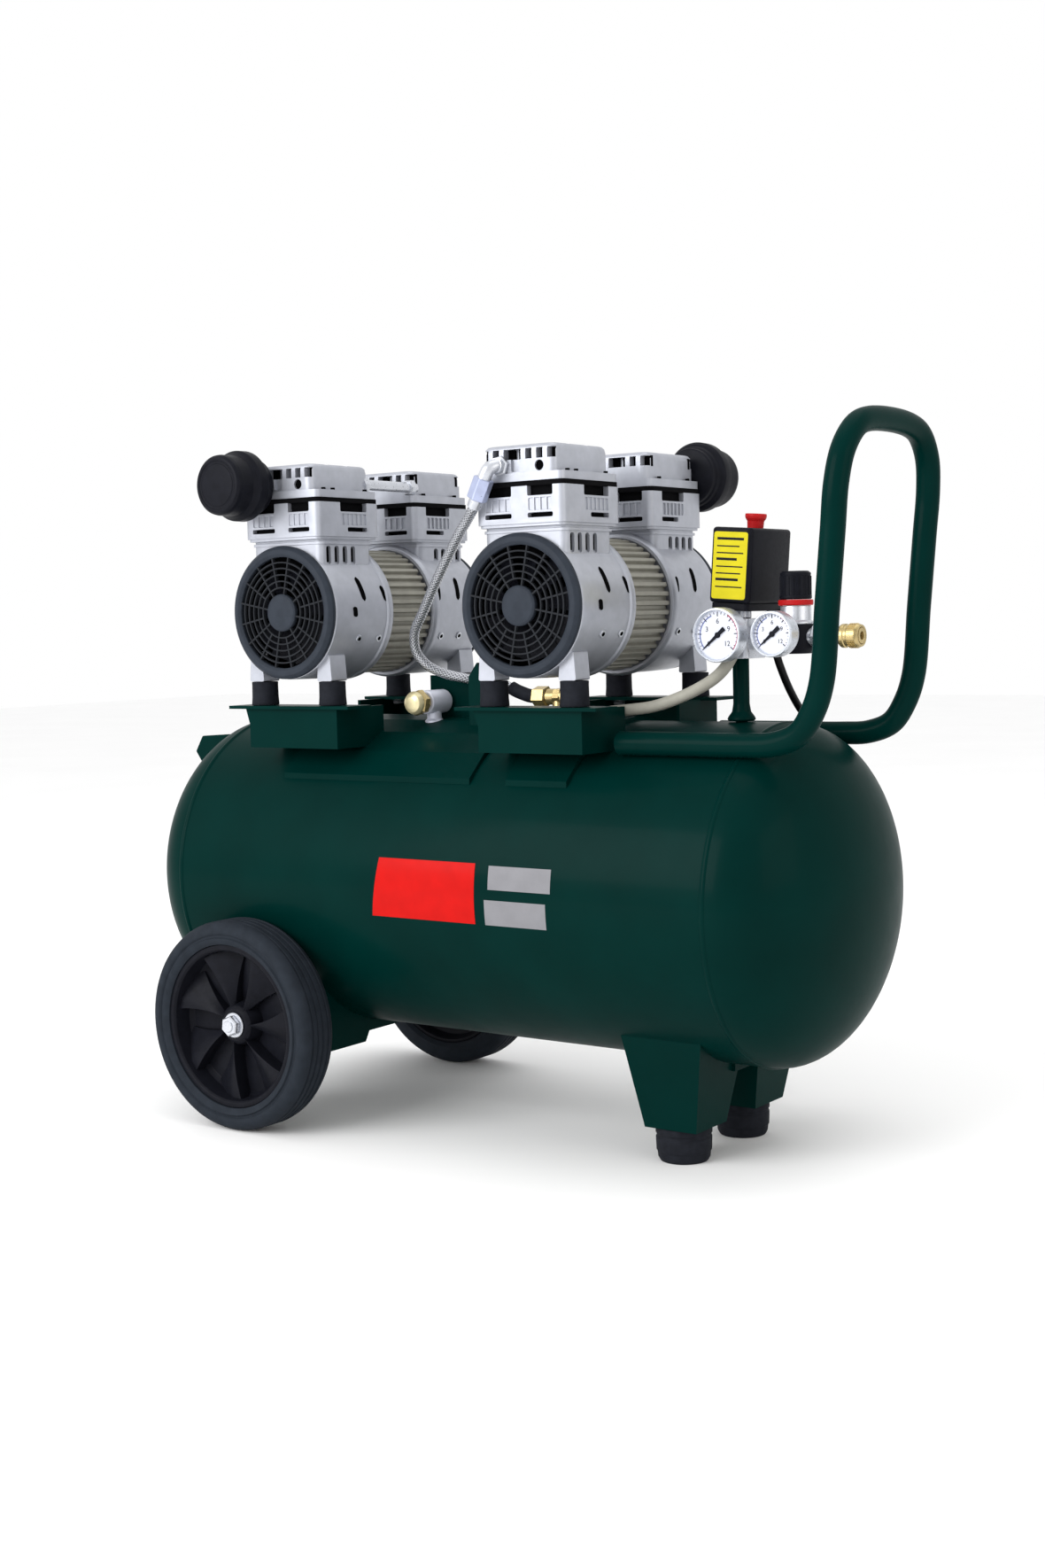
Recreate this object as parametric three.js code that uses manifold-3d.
// Twin-pump, oil-free, wheeled air compressor. Millimetres, +Z up, X along the tank, the floor at z = 0.
// The handle and the controls are at +X, the wheels at -X; "front" is -Y and "rear" is +Y.
import * as THREE from 'three';
import Module from 'manifold-3d';
import { mergeVertices } from 'three/addons/utils/BufferGeometryUtils.js';

const wasm = await Module();
wasm.setup();

// ---------------------------------------------------------------- driving dimensions
const GAP = 0.3; // clearance between pieces that touch

const TANK_R = 150; // a 300 mm tank, about 50 litres
const TANK_Z = 232; // height of the tank's axis
const TANK_LEFT = -307.8; // ends of the straight shell
const TANK_RIGHT = 281;
const DISH = 81.6; // depth of each domed end
const TANK_WALL = 3;
const TANK_SIDES = 30;
const PORT_R = 6; // threaded ports in the shell
const VALVE_AT = [-81.5, -30]; // the check valve on the tank's top
const HOSE_PORT_AT = [50, -10]; // where the delivery hose screws into the tank

const UNIT_X = [-179.4, 94.6]; // the two pump units
const UNIT_Y = -14;
const SHAFT_Z = 487.7;
const MOUNT_DX = 42.7; // rubber mounts, from the unit's centre
const MOUNT_Y = [-113, 89];
const MOUNT_TOP = 422.6;
const RAIL_TOP = 400;
const RAIL_FLOOR = 360;

const WHEEL_R = 100;
const WHEEL_X = -217;
const WHEEL_OUT = 189; // outer face of each tyre, from the middle
const TYRE_WIDTH = 44;
const RIM_R = 78;
const BOLT_R = 6;
const AXLE_END = 139; // outer face of the bracket's turned ends

const FOOT_X = 201.6;
const FOOT_Y = 52;
const FOOT_HEIGHT = 31;

const TUBE_R = 10.3; // handle tube
const HANDLE_Y = 87;
const HANDLE_TOP = 630.5;
const HANDLE_RUN_Z = 367.8; // height of the two runs welded to the tank

const MANIFOLD_Z = 455.5;
const RISER_X = 236.5;
const REGULATOR_X = 291;
const GAUGE_FACE_Y = -46;
const GAUGE_Z = 458.5;

const SWITCH_AT = [238, 10.5, 479.5];
const SWITCH_LEAN = 0.078;
const GLAND_AT = [13, 27]; // from the switch's middle
const KNOB_X = 3.5;

const LEAD_R = 3.5;
const COIL_AT = [85, 212];
const COIL_R = 39; // middle of the outer turns
const COIL_HEIGHT = 21.4; // three layers of turns

// ---------------------------------------------------------------- solids
const open = (geometry) => {
  const g = geometry.index ? geometry.toNonIndexed() : geometry.clone();
  g.deleteAttribute('normal');
  g.deleteAttribute('uv');
  return mergeVertices(g, 1e-3);
};

function solid(geometry) {
  const g = open(geometry);
  const p = g.attributes.position;
  const kept = [];
  let volume = 0;
  const [a, b, c] = [new THREE.Vector3(), new THREE.Vector3(), new THREE.Vector3()];
  for (let i = 0; i < g.index.count; i += 3) {
    const [u, v, w] = [g.index.getX(i), g.index.getX(i + 1), g.index.getX(i + 2)];
    if (u === v || v === w || w === u) continue;
    a.fromBufferAttribute(p, u);
    b.fromBufferAttribute(p, v);
    c.fromBufferAttribute(p, w);
    volume += a.dot(b.cross(c));
    kept.push(u, v, w);
  }
  if (volume < 0) kept.reverse();
  const mesh = { numProp: 3, vertProperties: new Float32Array(p.array), triVerts: new Uint32Array(kept) };
  return new wasm.Manifold(new wasm.Mesh(mesh));
}

const join = (first, ...others) => others.reduce((sum, s) => sum.add(s), first);
const cut = (body, ...tools) => tools.reduce((rest, s) => rest.subtract(s), body);

// A box between two corners.
function block([x0, y0, z0], [x1, y1, z1]) {
  const g = new THREE.BoxGeometry(x1 - x0, y1 - y0, z1 - z0);
  return solid(g.translate((x0 + x1) / 2, (y0 + y1) / 2, (z0 + z1) / 2));
}

// A bar with an outline in X and Y, rounded at its upright edges.
function roundedBlock([x0, y0, z0], [x1, y1, z1], r, arcs = 3) {
  const s = new THREE.Shape();
  s.moveTo(x0 + r, y0);
  s.lineTo(x1 - r, y0);
  s.absarc(x1 - r, y0 + r, r, -Math.PI / 2, 0, false);
  s.lineTo(x1, y1 - r);
  s.absarc(x1 - r, y1 - r, r, 0, Math.PI / 2, false);
  s.lineTo(x0 + r, y1);
  s.absarc(x0 + r, y1 - r, r, Math.PI / 2, Math.PI, false);
  s.lineTo(x0, y0 + r);
  s.absarc(x0 + r, y0 + r, r, Math.PI, 1.5 * Math.PI, false);
  const g = new THREE.ExtrudeGeometry(s, { depth: z1 - z0, bevelEnabled: false, curveSegments: arcs });
  return solid(g.translate(0, 0, z0));
}

const TURNS = {
  x: (g) => g.rotateZ(-Math.PI / 2),
  y: (g) => g,
  z: (g) => g.rotateX(Math.PI / 2),
};

// A turned solid: profile points are [radius, distance along the axis].
function turned(profile, axis = 'z', at = [0, 0, 0], sides = 24, start = 0) {
  const points = profile.map(([r, d]) => new THREE.Vector2(r, d));
  if (profile[0][0] !== 0) points.push(points[0].clone());
  const g = TURNS[axis](new THREE.LatheGeometry(points, sides, start));
  return solid(g.translate(...at));
}

function rod(r, d0, d1, axis, at, sides = 16) {
  return turned([[0, d0], [r, d0], [r, d1], [0, d1]], axis, at, sides);
}

// An outline in the plane across an axis, pushed along that axis.
function plate(points, d0, d1, axis) {
  const s = new THREE.Shape(points.map(([u, v]) => new THREE.Vector2(u, v)));
  const g = new THREE.ExtrudeGeometry(s, { depth: d1 - d0, bevelEnabled: false });
  g.translate(0, 0, d0);
  if (axis === 'x') g.applyMatrix4(new THREE.Matrix4().set(0, 0, 1, 0, 1, 0, 0, 0, 0, 1, 0, 0, 0, 0, 0, 1));
  if (axis === 'y') g.applyMatrix4(new THREE.Matrix4().set(1, 0, 0, 0, 0, 0, 1, 0, 0, 1, 0, 0, 0, 0, 0, 1));
  return solid(g);
}

function circle(r, sides) {
  const s = new THREE.Shape();
  for (let i = 0; i < sides; i += 1) {
    const a = (2 * Math.PI * i) / sides;
    if (i) s.lineTo(r * Math.cos(a), r * Math.sin(a));
    else s.moveTo(r, 0);
  }
  return s;
}

// A round bar along a smooth path.
function tube(points, r, sides = 8, steps = 40) {
  const through = points.map((p) => new THREE.Vector3(...p));
  const extrudePath = new THREE.CatmullRomCurve3(through, false, 'centripetal');
  return solid(new THREE.ExtrudeGeometry(circle(r, sides), { extrudePath, steps, bevelEnabled: false }));
}

// A six-sided prism: a nut or a bolt head.
const hexagon = (r, d0, d1, axis, at) => rod(r, d0, d1, axis, at, 6);

// ---------------------------------------------------------------- the tree
const compressor = new THREE.Group();
compressor.name = 'hotdog_air_compressor';

const MATERIALS = {
  paint: [0x04372f, 0.3, 0.1],
  casting: [0xb9bbc0, 0.5, 0.6],
  stator: [0xa8a392, 0.6, 0.3],
  plastic: [0x1c1d20, 0.6, 0],
  rubber: [0x25252b, 0.9, 0],
  tyre: [0x2c2d33, 0.85, 0],
  brass: [0xb8a063, 0.3, 0.9],
  steel: [0xc8ccd0, 0.3, 0.9],
  cream: [0xb9b4a2, 0.5, 0],
  red: [0xb02a2a, 0.5, 0],
  dial: [0xe8e9ec, 0.4, 0.1],
};

function piece(name, body, kind, parent = compressor) {
  const { vertProperties, triVerts } = body.getMesh();
  const g = new THREE.BufferGeometry();
  g.setAttribute('position', new THREE.BufferAttribute(new Float32Array(vertProperties), 3));
  g.setIndex(new THREE.BufferAttribute(new Uint32Array(triVerts), 1));
  const [color, roughness, metalness] = MATERIALS[kind];
  const m = new THREE.Mesh(g, new THREE.MeshStandardMaterial({ color, roughness, metalness }));
  m.name = name;
  parent.add(m);
  return m;
}

// ---------------------------------------------------------------- tank and what is welded to it
// Points of a domed, closed outline along the tank; a thinner one is the space inside.
function tankOutline(r, dish, arcs) {
  const half = [];
  for (let i = 0; i <= arcs; i += 1) {
    const a = (Math.PI / 2) * (i / arcs);
    half.push([r * Math.sin(a), dish * Math.cos(a)]);
  }
  const left = half.map(([u, v]) => [u, TANK_LEFT - v]);
  const right = half.slice().reverse().map(([u, v]) => [u, TANK_RIGHT + v]);
  left[0][0] = 0;
  right[right.length - 1][0] = 0;
  return [...left, ...right];
}

const tankBody = (grow, arcs = 5, sides = TANK_SIDES) =>
  turned(tankOutline(TANK_R + grow, DISH + grow, arcs), 'x', [0, 0, TANK_Z], sides);
const tankClearance = tankBody(GAP);

const PORTS = [[RISER_X, 0, 1], [...VALVE_AT, 1], [...HOSE_PORT_AT, 1], [150, 0, -1]];

function addTank() {
  const ports = PORTS.map(([x, y, way]) => {
    const z = TANK_Z + way * TANK_R;
    return rod(PORT_R, -30, 30, 'z', [x, y, z], 8);
  });
  const inside = tankBody(-TANK_WALL, 3, 18);
  const lug = plate([[-320, 350], [-350, 325], [-380, 337], [-388, 348], [-378, 364], [-325, 367]], -44, -36, 'y');
  const [drainX] = PORTS[3];
  const boss = rod(11, 77, 86, 'z', [drainX, 0, 0], 12);
  piece('tank_shell', cut(join(tankBody(0), lug, boss), inside, ...ports), 'paint');
}

// One base for a pump unit: a bent rail along each row of mounts and a strap over the tank.
function addPlatform(name, unitX, strap, extra) {
  const rails = MOUNT_Y.map((y) => {
    const side = Math.sign(y);
    const web = y + side * 11;
    const inward = web - side * 66;
    const [y0, y1] = [Math.min(web, inward), Math.max(web, inward)];
    const top = block([unitX - 75, y - 17, RAIL_TOP - 3], [unitX + 75, y + 17, RAIL_TOP]);
    const outline = [
      [unitX - 57, RAIL_TOP - 2], [unitX - 52, RAIL_TOP - 18], [unitX - 52, RAIL_FLOOR],
      [unitX + 58, RAIL_FLOOR], [unitX + 58, RAIL_TOP - 2],
    ];
    const front = plate(outline, web - 2, web + 2, 'y');
    const floor = block([unitX - 52, y0, RAIL_FLOOR], [unitX + 58, y1, RAIL_FLOOR + 3]);
    const ends = [unitX - 52, unitX + 55].map((x) => block([x, y0, RAIL_FLOOR], [x + 3, y1, RAIL_TOP - 2]));
    return join(top, front, floor, ...ends);
  });
  const [x0, x1] = strap;
  const outer = rod(TANK_R + 4, x0, x1, 'x', [0, 0, TANK_Z], TANK_SIDES);
  const saddle = outer.intersect(block([x0 - 1, -114, 330], [x1 + 1, 105, 400]));
  const [valveX, valveY] = VALVE_AT;
  const hole = rod(10, 360, 400, 'z', [valveX, valveY, 0], 12);
  piece(name, cut(join(saddle, ...rails, ...extra), tankClearance, hole), 'paint');
}

function addPlatforms() {
  const shield = plate([[-99.5, 375], [-99.5, 424.5], [-52, 422], [-52, 375]], -12, -8, 'y');
  const post = plate([[-29, 370], [-29, 424], [-19, 437], [-13, 427], [-13, 370]], -44, -40, 'y');
  addPlatform('platform_left', UNIT_X[0], [-200, 22], [shield, post]);
  addPlatform('platform_right', UNIT_X[1], [62, 127], []);
}

// A square cup that gets narrower towards the floor, open at the top.
function legCup(y, half, z0, z1, lean) {
  const g = new THREE.BoxGeometry(2 * half, 2 * half, z1 - z0);
  const p = g.attributes.position;
  for (let i = 0; i < p.count; i += 1) {
    if (p.getZ(i) > 0) p.setXY(i, p.getX(i) * lean, p.getY(i) * lean);
  }
  return solid(g.translate(FOOT_X + 2, y, (z0 + z1) / 2));
}

function addLegs() {
  const legs = [-FOOT_Y, FOOT_Y].map((y) => {
    const outside = legCup(y, 26, FOOT_HEIGHT + GAP, 115, 1.55);
    const inside = legCup(y, 23, FOOT_HEIGHT + 3.5, 118, 1.6);
    return cut(outside, inside);
  });
  const cross = block([FOOT_X - 36, -30, 78], [FOOT_X + 40, 30, 92]);
  const bolts = [-FOOT_Y, FOOT_Y].map((y) => rod(5, 20, 50, 'z', [FOOT_X, y, 0], 12));
  piece('leg_bracket', cut(join(...legs, cross), tankClearance, ...bolts), 'paint');
  const foot = [[0, 4], [14, 4], [16, 0], [21, 0], [23, 4], [25, FOOT_HEIGHT], [0, FOOT_HEIGHT]];
  ['front', 'rear'].forEach((side, i) => {
    const y = i ? FOOT_Y : -FOOT_Y;
    const pad = turned(foot, 'z', [FOOT_X, y, 0], 20);
    const stud = rod(4.6, FOOT_HEIGHT - 1, FOOT_HEIGHT + 9, 'z', [FOOT_X, y, 0], 12);
    piece(`rubber_foot_${side}`, join(pad, stud), 'rubber');
  });
}

function addHandle() {
  const lean = (z) => 357.4 + 0.094 * (z - 400);
  const rise = (y) => [
    [166, y, HANDLE_RUN_Z], [230, y, HANDLE_RUN_Z], [290, y, HANDLE_RUN_Z],
    [316, y, HANDLE_RUN_Z + 1.5], [338, y, HANDLE_RUN_Z + 10], [351, y, 396],
    [lean(420), y, 420], [lean(480), y, 480], [lean(540), y, 540],
  ];
  const bend = (side) => [
    [lean(578), side * HANDLE_Y, 578], [lean(606), side * 80, 604], [lean(625), side * 62, 623],
    [lean(630), side * 38, HANDLE_TOP],
  ];
  const near = [...rise(-HANDLE_Y), ...bend(-1)];
  const far = [...rise(HANDLE_Y), ...bend(1)].reverse();
  piece('carry_handle', cut(tube([...near, ...far], TUBE_R, 8, 40), tankClearance), 'paint');
}

// ---------------------------------------------------------------- wheels
// A plate across the tank's underside; its turned ends carry the wheel bolts.
function addAxleBracket() {
  const half = [[AXLE_END, 66], [50, 66], [44, 76]];
  const mirrored = half.map(([y, z]) => [-y, z]).reverse();
  const across = plate([...half, ...mirrored, [-AXLE_END, 132], [AXLE_END, 132]], -166, -163, 'x');
  const ends = [-1, 1].map((s) => {
    const [y0, y1] = [s * AXLE_END, s * (AXLE_END - 4)].sort((u, v) => u - v);
    return plate([[-163, 66], [-248, 84], [-248, 118], [-200, 132], [-163, 132]], y0, y1, 'y');
  });
  const slots = [-1, 1].map((s) => block([-170, s * 107 - 5, 82], [-160, s * 107 + 5, 101]));
  const holes = [-1, 1].map((s) => {
    const y = s * (AXLE_END - 2);
    return rod(BOLT_R + GAP, y - 8, y + 8, 'y', [WHEEL_X, 0, WHEEL_R]);
  });
  piece('axle_bracket', cut(join(across, ...ends), tankClearance, ...slots, ...holes), 'paint');
}

function addWheel(side, way) {
  const group = new THREE.Group();
  group.name = `wheel_${side}`;
  group.position.set(WHEEL_X, 0, WHEEL_R);
  if (way > 0) group.rotation.z = Math.PI;
  compressor.add(group);
  const out = -WHEEL_OUT;
  const inn = out + TYRE_WIDTH;
  const tyre = [
    [RIM_R, out + 3], [RIM_R + 4, out], [WHEEL_R - 5, out], [WHEEL_R, out + 7], [WHEEL_R, inn - 7],
    [WHEEL_R - 5, inn], [RIM_R, inn],
  ];
  piece(`tyre_${side}`, turned(tyre, 'y', [0, 0, 0], 24), 'tyre', group);
  const rimOuter = RIM_R - GAP;
  const rim = [
    [BOLT_R + GAP, out + 14], [16, out + 12], [20, out + 20], [66, out + 16], [70, out + 5],
    [rimOuter, out + 5], [rimOuter, inn - 5], [70, out + 24], [22, out + 26], [BOLT_R + GAP, inn + 2],
  ];
  piece(`wheel_rim_${side}`, turned(rim, 'y', [0, 0, 0], 24), 'plastic', group);
  const inside = AXLE_END - 4 - GAP;
  const shank = rod(BOLT_R, out + 10, -inside + 6, 'y', [0, 0, 0], 12);
  const head = hexagon(10, out + 3.5, out + 10, 'y', [0, 0, 0]);
  const nut = hexagon(11, -inside, -inside + 9, 'y', [0, 0, 0]);
  const washer = rod(12, out + 10, out + 11.7, 'y', [0, 0, 0], 12);
  piece(`wheel_bolt_${side}`, join(shank, head, washer, nut), 'steel', group);
}

// ---------------------------------------------------------------- pump units
// All in the unit's own frame: the shaft lies along Y through the origin.
const PUMP_R = 62.5;
const GUARD_Y = -121; // front face of the guard
const FAN_BAY_Y = -74; // floor of the fan bay
const CASE_END = -31; // where the crankcase meets the stator
const BORE_R = 27;
const BLOCK_X = [-43, 49];
const BLOCK_Y = [-119, -30.5];
const BLOCK_Z = [67.5, 103.5];
const CYLINDER_AT = [3, -74.5];
const CASE_SIDES = 20;
const CRANK_R = 22; // room for the cranks inside each crankcase
const HEAD_TOP = 137;

function crankcase() {
  const shell = turned([
    [58, GUARD_Y + 8.6], [PUMP_R, GUARD_Y + 8.6], [PUMP_R + 1, CASE_END - GAP], [CRANK_R, CASE_END - GAP],
    [CRANK_R, FAN_BAY_Y], [58, FAN_BAY_Y],
  ], 'y', [0, 0, 0], CASE_SIDES);
  const [cx, cy] = CYLINDER_AT;
  const neck = roundedBlock([BLOCK_X[0] + 3, -112, 25], [BLOCK_X[1] - 3, -40, BLOCK_Z[0] - GAP], 8, 1);
  const inner = rod(58, GUARD_Y, FAN_BAY_Y, 'y', [0, 0, 0], CASE_SIDES);
  const crank = rod(CRANK_R, FAN_BAY_Y - 5, CASE_END, 'y', [0, 0, 0], CASE_SIDES);
  const bore = rod(BORE_R, 10, 90, 'z', [cx, cy, 0], 14);
  const foot = MOUNT_TOP - SHAFT_Z + GAP;
  const feet = [-1, 1].map((s) => block([s * MOUNT_DX - 13, -112, foot], [s * MOUNT_DX + 13, -84, -40]));
  const slots = [-96, -66].map((y) => block([-60, y, 45], [60, y + 8, 62]));
  return cut(join(shell, cut(neck, inner, crank), ...feet.map((f) => cut(f, inner))), bore, ...slots);
}

function cylinder() {
  const [cx, cy] = CYLINDER_AT;
  const [z0, z1] = BLOCK_Z;
  const [x0, x1] = BLOCK_X;
  const [y0, y1] = BLOCK_Y;
  const body = roundedBlock([x0, y0, z0], [x1, y1, z1], 6, 1);
  const bore = rod(BORE_R, z0 - 5, z1 + 5, 'z', [cx, cy, 0], 14);
  const slots = [[-33, -5], [12, 38]].map(([u, v]) => block([u, y0 - 1, z1 - 9], [v, y0 + 6, z1 + 1]));
  return cut(body, bore, ...slots);
}

// The first head of a pair carries the pipe that crosses to the other one.
function head(first) {
  const z0 = BLOCK_Z[1] + GAP;
  const [x0, x1] = BLOCK_X;
  const [y0, y1] = BLOCK_Y;
  const flange = roundedBlock([x0 + 1, y0 + 1, z0], [x1 - 1, y1 - 1, z0 + 9], 6, 1);
  const box = roundedBlock([x0 + 6, y0 + 3, z0 + 9], [x1 - 9, y1 - 8, HEAD_TOP], 5, 1);
  const slots = [];
  for (let i = 0; i < 4; i += 1) {
    const x = x0 + 12 + 18 * i;
    slots.push(block([x, y0, HEAD_TOP - 15], [x + 8, y0 + 12, HEAD_TOP + 1]));
  }
  const [cx, cy] = CYLINDER_AT;
  const chamber = rod(22, z0 - 5, z0 + 14, 'z', [cx, cy, 0], 12);
  const port = rod(5, 0, 60, 'x', [x0 - 30, cy, z0 + 17], 8);
  const body = cut(join(flange, box), ...slots, chamber, port);
  const pipe = rod(5, y1 - 12, -y1 + 8 - GAP, 'y', [34, 0, z0 + 17], 12);
  return first ? join(body, pipe) : body;
}

// A round grille with one row of windows between its spokes.
function guard() {
  const outline = circle(PUMP_R - 1, 24);
  const spokes = 7;
  const [inner, outer] = [17, 53];
  for (let i = 0; i < spokes; i += 1) {
    const mid = (2 * Math.PI * (i + 0.5)) / spokes;
    const half = Math.PI / spokes;
    const at = (r, part) => [r * Math.cos(mid + part), r * Math.sin(mid + part)];
    const [a, b] = [half - 1.7 / inner, half - 1.7 / outer];
    const corners = [at(inner, -a), at(outer, -b), at(outer, 0), at(outer, b), at(inner, a)];
    outline.holes.push(new THREE.Path(corners.map(([u, v]) => new THREE.Vector2(u, v))));
  }
  const g = new THREE.ExtrudeGeometry(outline, { depth: 8, bevelEnabled: false });
  return solid(g.rotateX(Math.PI / 2).translate(0, GUARD_Y + 8.2, 0));
}

function statorHousing() {
  const outline = new THREE.Shape();
  const ribs = 20;
  for (let i = 0; i < ribs; i += 1) {
    [[-0.24, 57], [-0.18, 60], [0.18, 60], [0.24, 57]].forEach(([part, r], k) => {
      const a = ((i + part) / ribs) * 2 * Math.PI;
      if (k || i) outline.lineTo(r * Math.cos(a), r * Math.sin(a));
      else outline.moveTo(r * Math.cos(a), r * Math.sin(a));
    });
  }
  outline.closePath();
  const g = new THREE.ExtrudeGeometry(outline, { depth: -2 * CASE_END, bevelEnabled: false });
  const body = solid(g.rotateX(Math.PI / 2).translate(0, -CASE_END, 0));
  return cut(body, rod(38, -60, 60, 'y', [0, 0, 0], 18));
}

function fan(y) {
  const outline = [];
  const blades = 5;
  for (let i = 0; i < blades; i += 1) {
    [[15, -0.5], [50, -0.22], [50, 0.22], [15, 0.05]].forEach(([r, turn]) => {
      const a = ((i + turn) / blades) * 2 * Math.PI;
      outline.push([r * Math.cos(a), r * Math.sin(a)]);
    });
  }
  return plate(outline, y - 5, y + 5, 'y');
}

function rotor(length) {
  const shaft = rod(6, -length / 2, length / 2, 'y', [0, 0, 0], 10);
  const core = rod(36, -24, 24, 'y', [0, 0, 0], 16);
  const cranks = [-50, 50].map((y) => rod(CRANK_R - 3, y - 12, y + 12, 'y', [0, 0, 0], 10));
  return join(shaft, core, ...cranks, fan(-length / 2 + 12), fan(length / 2 - 12));
}

// Intake silencer, screwed into the outer face of a head.
function intakeFilter() {
  const [x, z] = [-28.6, 118.5];
  const face = BLOCK_Y[0] + 3;
  return turned([
    [0, face - 54], [26, face - 54], [28, face - 51], [28, face - 33], [33, face - 29], [33, face - 18],
    [29, face - 12], [27, face - 5], [5.4, face - 5], [5.4, face - GAP], [0, face - GAP],
  ], 'y', [x, 0, z], 18);
}

function addUnit(name, index) {
  const unit = new THREE.Group();
  unit.name = `${name}_pump`;
  unit.position.set(UNIT_X[index], UNIT_Y, SHAFT_Z);
  if (index) unit.rotation.z = Math.PI;
  compressor.add(unit);
  const turnAround = (body) => body.rotate([0, 0, 180]);
  const pairs = [
    ['crankcase', crankcase, 'casting'],
    ['cylinder', cylinder, 'casting'],
    ['head', head, 'casting'],
    ['fan_guard', guard, 'plastic'],
  ];
  const ends = index ? ['rear', 'front'] : ['front', 'rear'];
  pairs.forEach(([part, make, kind]) => {
    piece(`${name}_${part}_${ends[0]}`, make(true), kind, unit);
    piece(`${name}_${part}_${ends[1]}`, turnAround(make(false)), kind, unit);
  });
  piece(`${name}_stator_housing`, statorHousing(), 'stator', unit);
  piece(`${name}_rotor`, rotor(224), 'steel', unit);
  piece(`${name}_intake_filter`, intakeFilter(), 'plastic', unit);
}

function addMounts() {
  const names = ['left', 'right'];
  UNIT_X.forEach((ux, i) => {
    MOUNT_Y.forEach((y, j) => {
      [-1, 1].forEach((s) => {
        const body = rod(12.5, RAIL_TOP + GAP, MOUNT_TOP, 'z', [ux + s * MOUNT_DX, y, 0], 14);
        const corner = `${j ? 'rear' : 'front'}_${s < 0 ? 'left' : 'right'}`;
        piece(`${names[i]}_mount_${corner}`, body, 'rubber');
      });
    });
  });
}

// ---------------------------------------------------------------- controls
const tankTopAt = (y) => TANK_Z + Math.sqrt(TANK_R ** 2 - y ** 2);

function addManifold() {
  const pipe = turned([
    [0, 378], [5.4, 378], [5.4, 383.5], [12, 383.5], [12, 386], [7.2, 392], [7.2, 438], [0, 438],
  ], 'z', [RISER_X, 0, 0], 12);
  const base = roundedBlock([RISER_X - 16, -18, 437.5], [RISER_X + 16, 18, 472], 6, 1);
  const arm = rod(10, 0, 40, 'x', [RISER_X + 10, 0, MANIFOLD_Z], 12);
  const regulator = turned([
    [0, 441], [14, 441], [16, 445], [16, 466], [13, 468], [13, 486], [0, 486],
  ], 'z', [REGULATOR_X, 0, 0], 14);
  const outlet = rod(8, 0, 32, 'x', [REGULATOR_X, 0, MANIFOLD_Z], 12);
  const stubStart = GAUGE_FACE_Y + 19.6;
  const stubs = [RISER_X + 2, REGULATOR_X].map((x) => rod(5, stubStart, -12, 'y', [x, 0, GAUGE_Z], 8));
  const neck = rod(9, 472, 477, 'z', [RISER_X + 1, 0, 0], 12);
  piece('manifold', join(pipe, base, arm, regulator, outlet, neck, ...stubs), 'steel');
  const knob = turned([
    [0, 487.2], [13.6, 487.2], [14, 489], [14, 509], [12, 511.5], [0, 511.5],
  ], 'z', [REGULATOR_X, 0, 0], 20);
  piece('regulator_knob', knob, 'plastic');
}

// The switch leans a little towards the handle; its pull knob slides along its own upright.
function addPressureSwitch() {
  const group = new THREE.Group();
  group.name = 'switch_group';
  group.position.set(...SWITCH_AT);
  group.rotation.y = SWITCH_LEAN;
  compressor.add(group);
  const base = roundedBlock([-18, -33, 0], [18, 33, 6], 4, 1);
  const cover = roundedBlock([-19, -36.5, 6], [19, 36.5, 65], 5, 1);
  const crown = roundedBlock([-16, -33, 65], [16, 33, 69], 4, 1);
  const relief = [[0, -22], [4.2, -22], [5.6, -4], [7.5, -4], [7.5, 1], [0, 1]];
  const gland = turned(relief, 'z', [...GLAND_AT, 0], 10);
  const hollow = rod(7.8, 56, 80, 'z', [KNOB_X, 0, 0], 12);
  piece('pressure_switch', cut(join(base, cover, crown, gland), hollow), 'plastic', group);
  const knob = turned([[0, 57], [7.2, 57], [7.2, 77], [9.4, 80], [9.4, 83.5], [0, 83.5]], 'z', [KNOB_X, 0, 0], 12);
  piece('switch_knob', knob, 'red', group);
}

// A gauge that faces the operator: the body is a closed cup, the needle turns before its dial.
function addGauge(name, x, r) {
  const group = new THREE.Group();
  group.name = `${name}_gauge_group`;
  group.position.set(x, GAUGE_FACE_Y, GAUGE_Z);
  compressor.add(group);
  const cup = turned([
    [0, 19], [r - 3, 19], [r, 15], [r, -1], [r - 2.5, -1], [r - 2.5, 4], [0, 4],
  ], 'y', [0, 0, 0], 20);
  piece(`${name}_gauge`, cut(cup, rod(1.3, 0, 8, 'y', [0, 0, 0], 8)), 'dial', group);
  const long = r - 6;
  const hand = plate([[-1.2, -7], [1.2, -7], [0.5, long], [-0.5, long]], 2.2, 3.2, 'y');
  const boss = rod(2.4, 1.8, 3.6, 'y', [0, 0, 0], 10);
  const pin = rod(1, 3, 7, 'y', [0, 0, 0], 8);
  piece(`${name}_needle`, join(hand, boss, pin).rotate([0, -130, 0]), 'plastic', group);
}

function addCoupler() {
  const at = [REGULATOR_X, 0, MANIFOLD_Z];
  const body = turned([
    [3.5, 32.4], [9, 32.4], [9, 37], [7, 38], [7, 62], [3.5, 62],
  ], 'x', at, 16);
  piece('quick_coupler', body, 'brass');
  const sleeve = turned([[7.3, 43], [10.4, 43], [10.4, 60], [9.4, 62], [7.3, 62]], 'x', at, 20);
  piece('coupler_sleeve', sleeve, 'brass');
}

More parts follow.
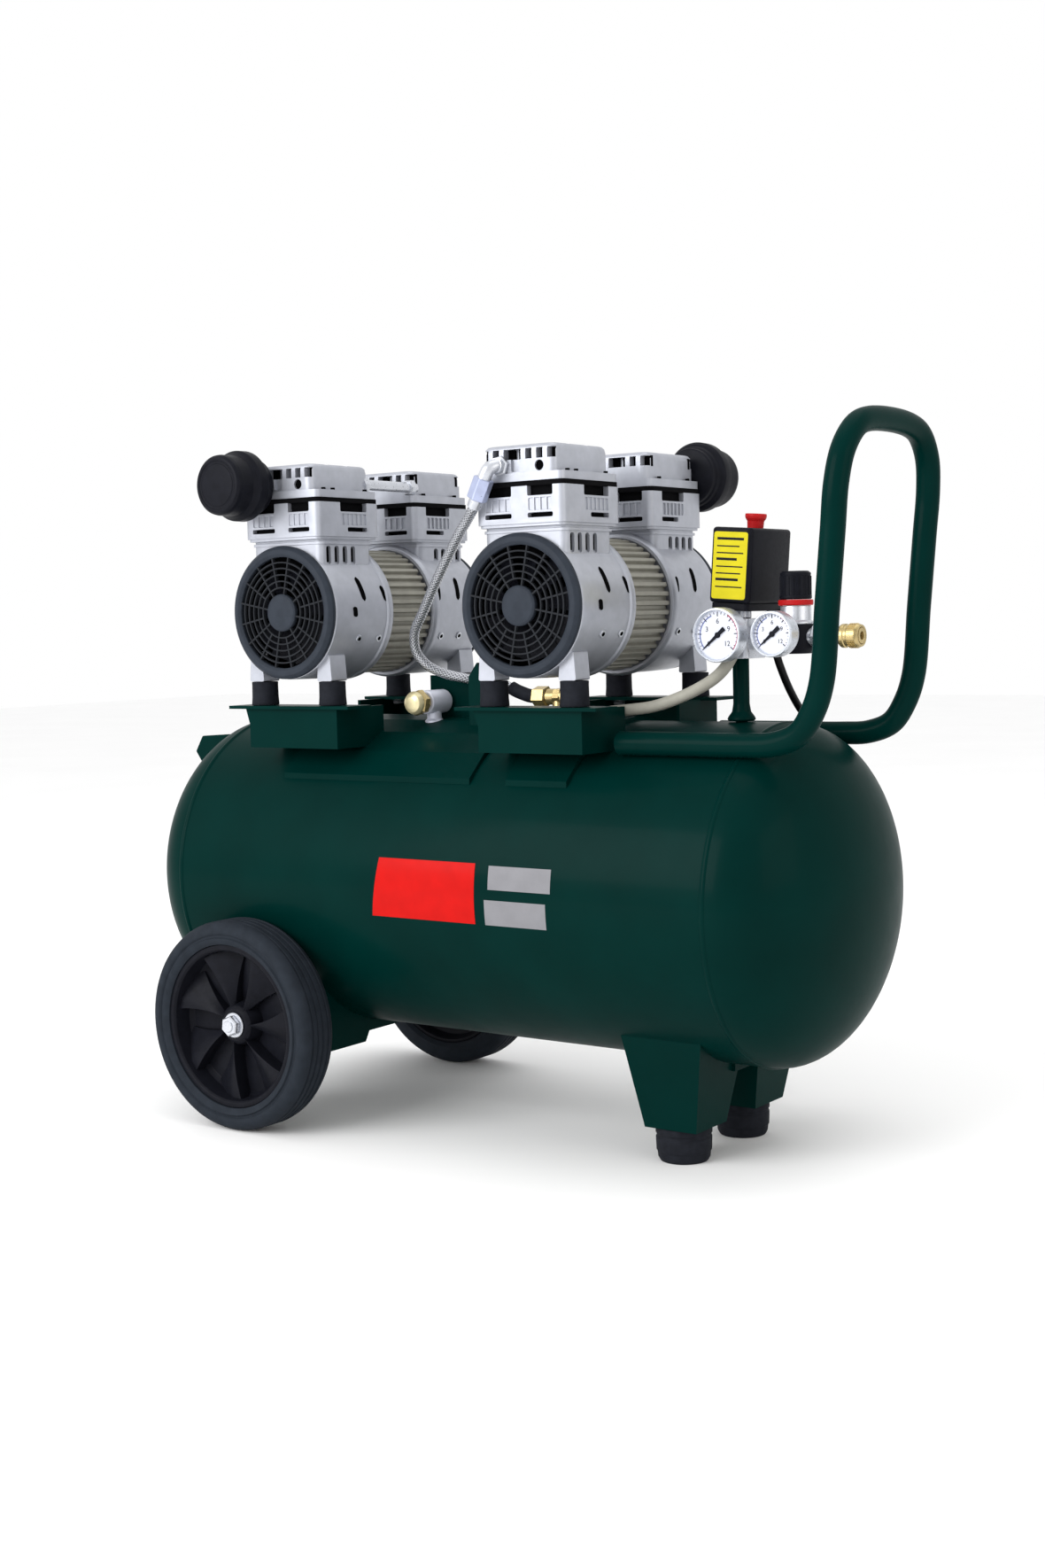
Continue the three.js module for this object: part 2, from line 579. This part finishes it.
function addCheckValve() {
  const [x, y] = VALVE_AT;
  const top = tankTopAt(y);
  const stem = turned([
    [2.5, top - 4], [5.4, top - 4], [5.4, top + 1.5], [9, top + 3], [9, 392], [2.5, 392],
  ], 'z', [x, y, 0], 12);
  const barrel = rod(11.3, -16, 15, 'y', [x, y, 400], 14);
  const nut = hexagon(12.5, -28, -19, 'y', [x, y, 400]);
  const cap = turned([[0, -36], [8, -36], [11, -32], [11, -28], [0, -28]], 'y', [x, y, 400], 14);
  const neck = rod(8, -20, -15, 'y', [x, y, 400], 10);
  piece('check_valve', join(stem, barrel, nut, cap, neck), 'brass');
}

// Pipes that the machine holds along their whole way.
function addPipes() {
  const hose = tube([
    [63, -144.2, 583], [58, -143, 575], [44, -135, 564], [30.4, -128, 554], [2.5, -112, 532], [-26, -96, 507.8],
    [-50.2, -82, 485.8], [-71, -70, 465.5], [-76, -62, 449], [-70.5, -54, 436.2], [-59, -43, 427.6],
    [-42, -31, 422], [-27.4, -20, 418.9], [-15, -13, 417], [-1.9, -10, 411], [16, -10, 405], [26, -10, 404],
  ], 4.6, 8, 34);
  const elbow = tube([[77.5, -130.8, 607.5], [77.5, -137, 607.5], [74, -143, 604.5], [69.5, -144.5, 596]], 6, 8, 8);
  const union = tube([[70, -144.5, 597], [61, -144, 579.5]], 9, 6, 1);
  const [portX, portY] = HOSE_PORT_AT;
  const nut = hexagon(10, -29, -12, 'x', [portX, portY, 404]);
  const body = rod(7.5, -12, 7, 'x', [portX, portY, 404], 12);
  const top = tankTopAt(portY);
  const stem = turned([
    [0, top - 4], [5.4, top - 4], [5.4, top + 1.5], [9, top + 3], [9, top + 9], [6.5, top + 10], [6.5, 404],
    [0, 404],
  ], 'z', [portX, portY, 0], 12);
  piece('braided_hose', join(hose, elbow, union, nut, body, stem), 'steel');
  const relief = tube([
    [134, -51, 393], [152, -51, 394.5], [179, -50, 398], [212, -45, 409.5], [229, -34, 421],
    [235, -22, 431],
  ], 5.2, 8, 16);
  piece('relief_tube', relief, 'cream');
}

// ---------------------------------------------------------------- mains lead
// From the switch over the handle's far run, down the rear of the tank to the floor, and into a coil.
function addLead() {
  const [cx, cy] = COIL_AT;
  const lead = tube([
    [249.2, 37.5, 455.4], [249.8, 38, 446], [251.5, 39.5, 436], [253.2, 44.5, 424], [254, 53, 411.5],
    [254.3, 63, 400.5], [254, 73.5, 391.5], [253, 84, 385], [251.5, 94.5, 379.5], [249.3, 104.5, 371.5],
    [246.5, 113.5, 360.5], [243, 121.5, 346.5], [239, 129.5, 329], [236, 136.5, 309], [231.5, 143.5, 288],
    [225, 151.2, 261], [213, 153.9, 232], [200, 154.5, 200], [185, 155.5, 165], [170, 157, 130],
    [159, 159, 95], [152.5, 160.6, 60], [150.6, 161.4, 38], [148.9, 164.4, 24.9], [145.6, 170.8, 13.9],
    [140.5, 180.6, 6.5], [134.8, 191.5, 3.9], [130.9, 200.4, 3.9],
  ], LEAD_R, 8, 64);
  piece('mains_lead', lead, 'rubber');
  const inner = COIL_R - 3 * LEAD_R - 0.4;
  const outer = COIL_R + LEAD_R + 0.4;
  const coil = turned([
    [inner, 2.5], [inner + 2.5, 0.4], [outer - 2.5, 0.4], [outer, 2.5], [outer, COIL_HEIGHT - 2.5],
    [outer - 2.5, COIL_HEIGHT], [inner + 2.5, COIL_HEIGHT], [inner, COIL_HEIGHT - 2.5],
  ], 'z', [cx, cy, 0], 24);
  piece('lead_coil', coil, 'rubber');
  const low = COIL_HEIGHT + GAP;
  const [tail, side] = [cx - 4, cy - 30];
  const grip = roundedBlock([tail, side - 16, low], [tail + 40, side + 16, low + 17], 8, 2);
  const pins = [-9.5, 9.5].map((d) => rod(2.4, 39, 58, 'x', [tail, side + d, low + 8.5], 8));
  piece('mains_plug', join(grip, ...pins), 'plastic');
}

addTank();
addPlatforms();
addLegs();
addHandle();
addAxleBracket();
addWheel('front', -1);
addWheel('rear', 1);
addMounts();
addUnit('left', 0);
addUnit('right', 1);
addManifold();
addPressureSwitch();
addGauge('tank', 238.5, 23.5);
addGauge('outlet', REGULATOR_X, 19.5);
addCoupler();
addCheckValve();
addPipes();
addLead();

export default compressor;
